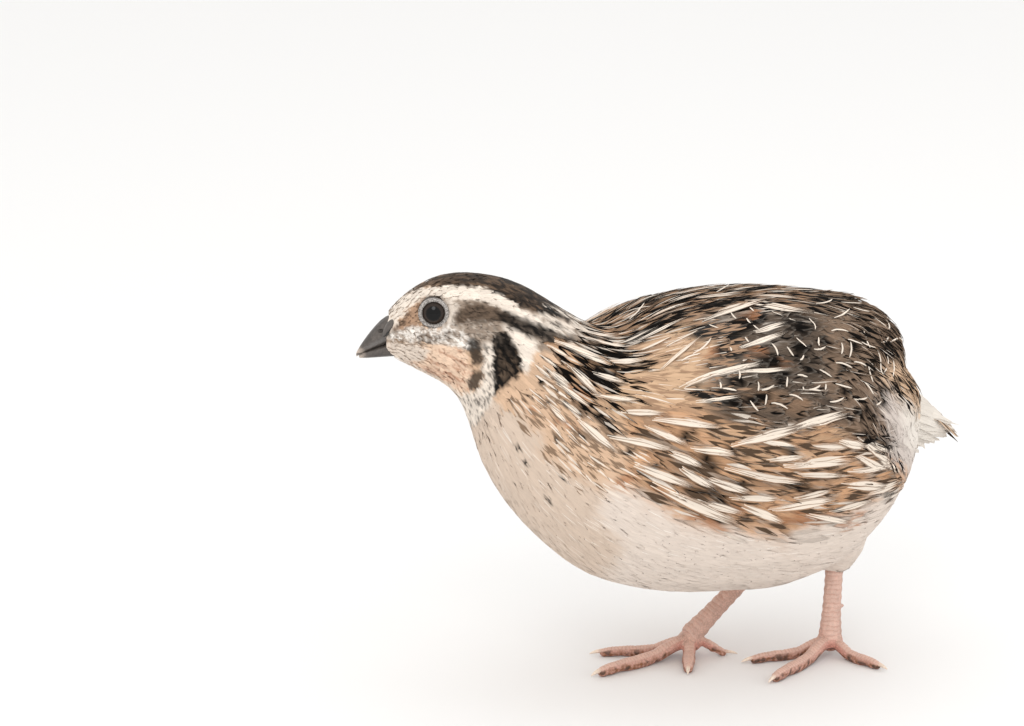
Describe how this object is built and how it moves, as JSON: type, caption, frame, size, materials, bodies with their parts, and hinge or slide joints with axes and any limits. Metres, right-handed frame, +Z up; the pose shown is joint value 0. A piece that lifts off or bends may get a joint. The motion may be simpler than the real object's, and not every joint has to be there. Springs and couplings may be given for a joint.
{
  "type": "coturnix quail",
  "caption": "Life-size standing quail in mid-step, head turned slightly to its right, wings folded, resting on its toes.",
  "frame": {"origin": "on the floor, under the middle of the bird's box", "axes": "-X the way the bird's body faces, -Y its left side, +Z up"},
  "size_m": [0.1677, 0.082, 0.1107],
  "materials": {
    "body_feathers": "matt, cream below with buff and brown marks above",
    "neck_feathers": "matt, dark brown with cream streaks",
    "head_feathers": "matt, brown crown, cream brow stripe and buff throat",
    "wing_feathers": "matt, brown with cream shaft streaks and black patches",
    "tail_feathers": "matt, grey-brown and buff",
    "thigh_feathers": "matt, cream",
    "bill_horn": "satin grey horn",
    "eye_dark": "glossy, wet-looking",
    "leg_skin": "satin, pink and scaled",
    "claw_horn": "satin pale horn"
  },
  "bodies": {
    "root": {"bill_lower": "bill_horn", "bill_upper": "bill_horn", "claw_hind_left": "claw_horn", "claw_hind_right": "claw_horn", "claw_inner_left": "claw_horn", "claw_inner_right": "claw_horn", "claw_middle_left": "claw_horn", "claw_middle_right": "claw_horn", "claw_outer_left": "claw_horn", "claw_outer_right": "claw_horn", "eye_left": "eye_dark", "eye_right": "eye_dark", "head": "head_feathers", "neck": "neck_feathers", "shank_left": "leg_skin", "shank_right": "leg_skin", "tail": "tail_feathers", "thigh_left": "thigh_feathers", "thigh_right": "thigh_feathers", "toe_hind_left": "leg_skin", "toe_hind_right": "leg_skin", "toe_inner_left": "leg_skin", "toe_inner_right": "leg_skin", "toe_middle_left": "leg_skin", "toe_middle_right": "leg_skin", "toe_outer_left": "leg_skin", "toe_outer_right": "leg_skin", "torso": "body_feathers", "wing_left": "wing_feathers", "wing_right": "wing_feathers"}
  },
  "joints": []
}
